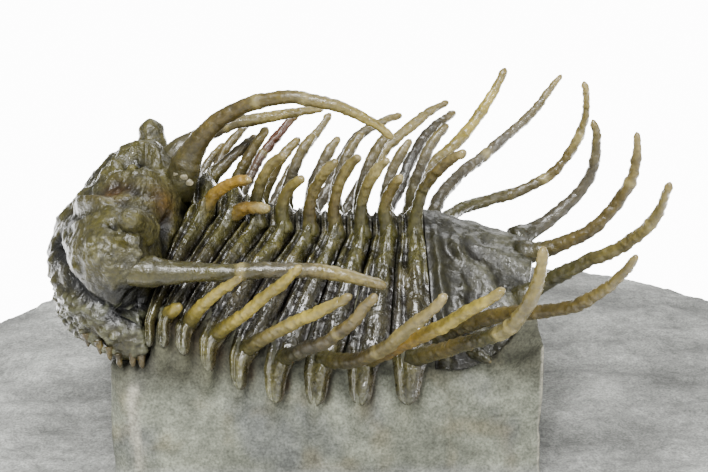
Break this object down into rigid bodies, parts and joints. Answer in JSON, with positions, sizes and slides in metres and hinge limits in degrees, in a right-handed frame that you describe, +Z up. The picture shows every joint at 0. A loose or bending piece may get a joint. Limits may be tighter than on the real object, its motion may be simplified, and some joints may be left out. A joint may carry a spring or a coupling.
{
  "type": "fossil trilobite",
  "caption": "Spiny trilobite fossil with long curved spines, prepared free on a limestone pedestal that rises from a broad flat slab.",
  "frame": {"origin": "middle of the flat underside of the stone, on the surface it rests on", "axes": "+Z up, the animal faces -X, its left side faces -Y"},
  "size_m": [0.0845, 0.0603, 0.0378],
  "materials": {
    "limestone": "rough",
    "head_calcite": "glossy",
    "thorax_calcite": "glossy",
    "tail_calcite": "glossy"
  },
  "bodies": {
    "root": {"matrix": "limestone", "head_shield": "head_calcite", "tail_shield": "tail_calcite", "thorax_segment_1": "thorax_calcite", "thorax_segment_2": "thorax_calcite", "thorax_segment_3": "thorax_calcite", "thorax_segment_4": "thorax_calcite", "thorax_segment_5": "thorax_calcite", "thorax_segment_6": "thorax_calcite", "thorax_segment_7": "thorax_calcite", "thorax_segment_8": "thorax_calcite", "thorax_segment_9": "thorax_calcite"}
  },
  "joints": []
}
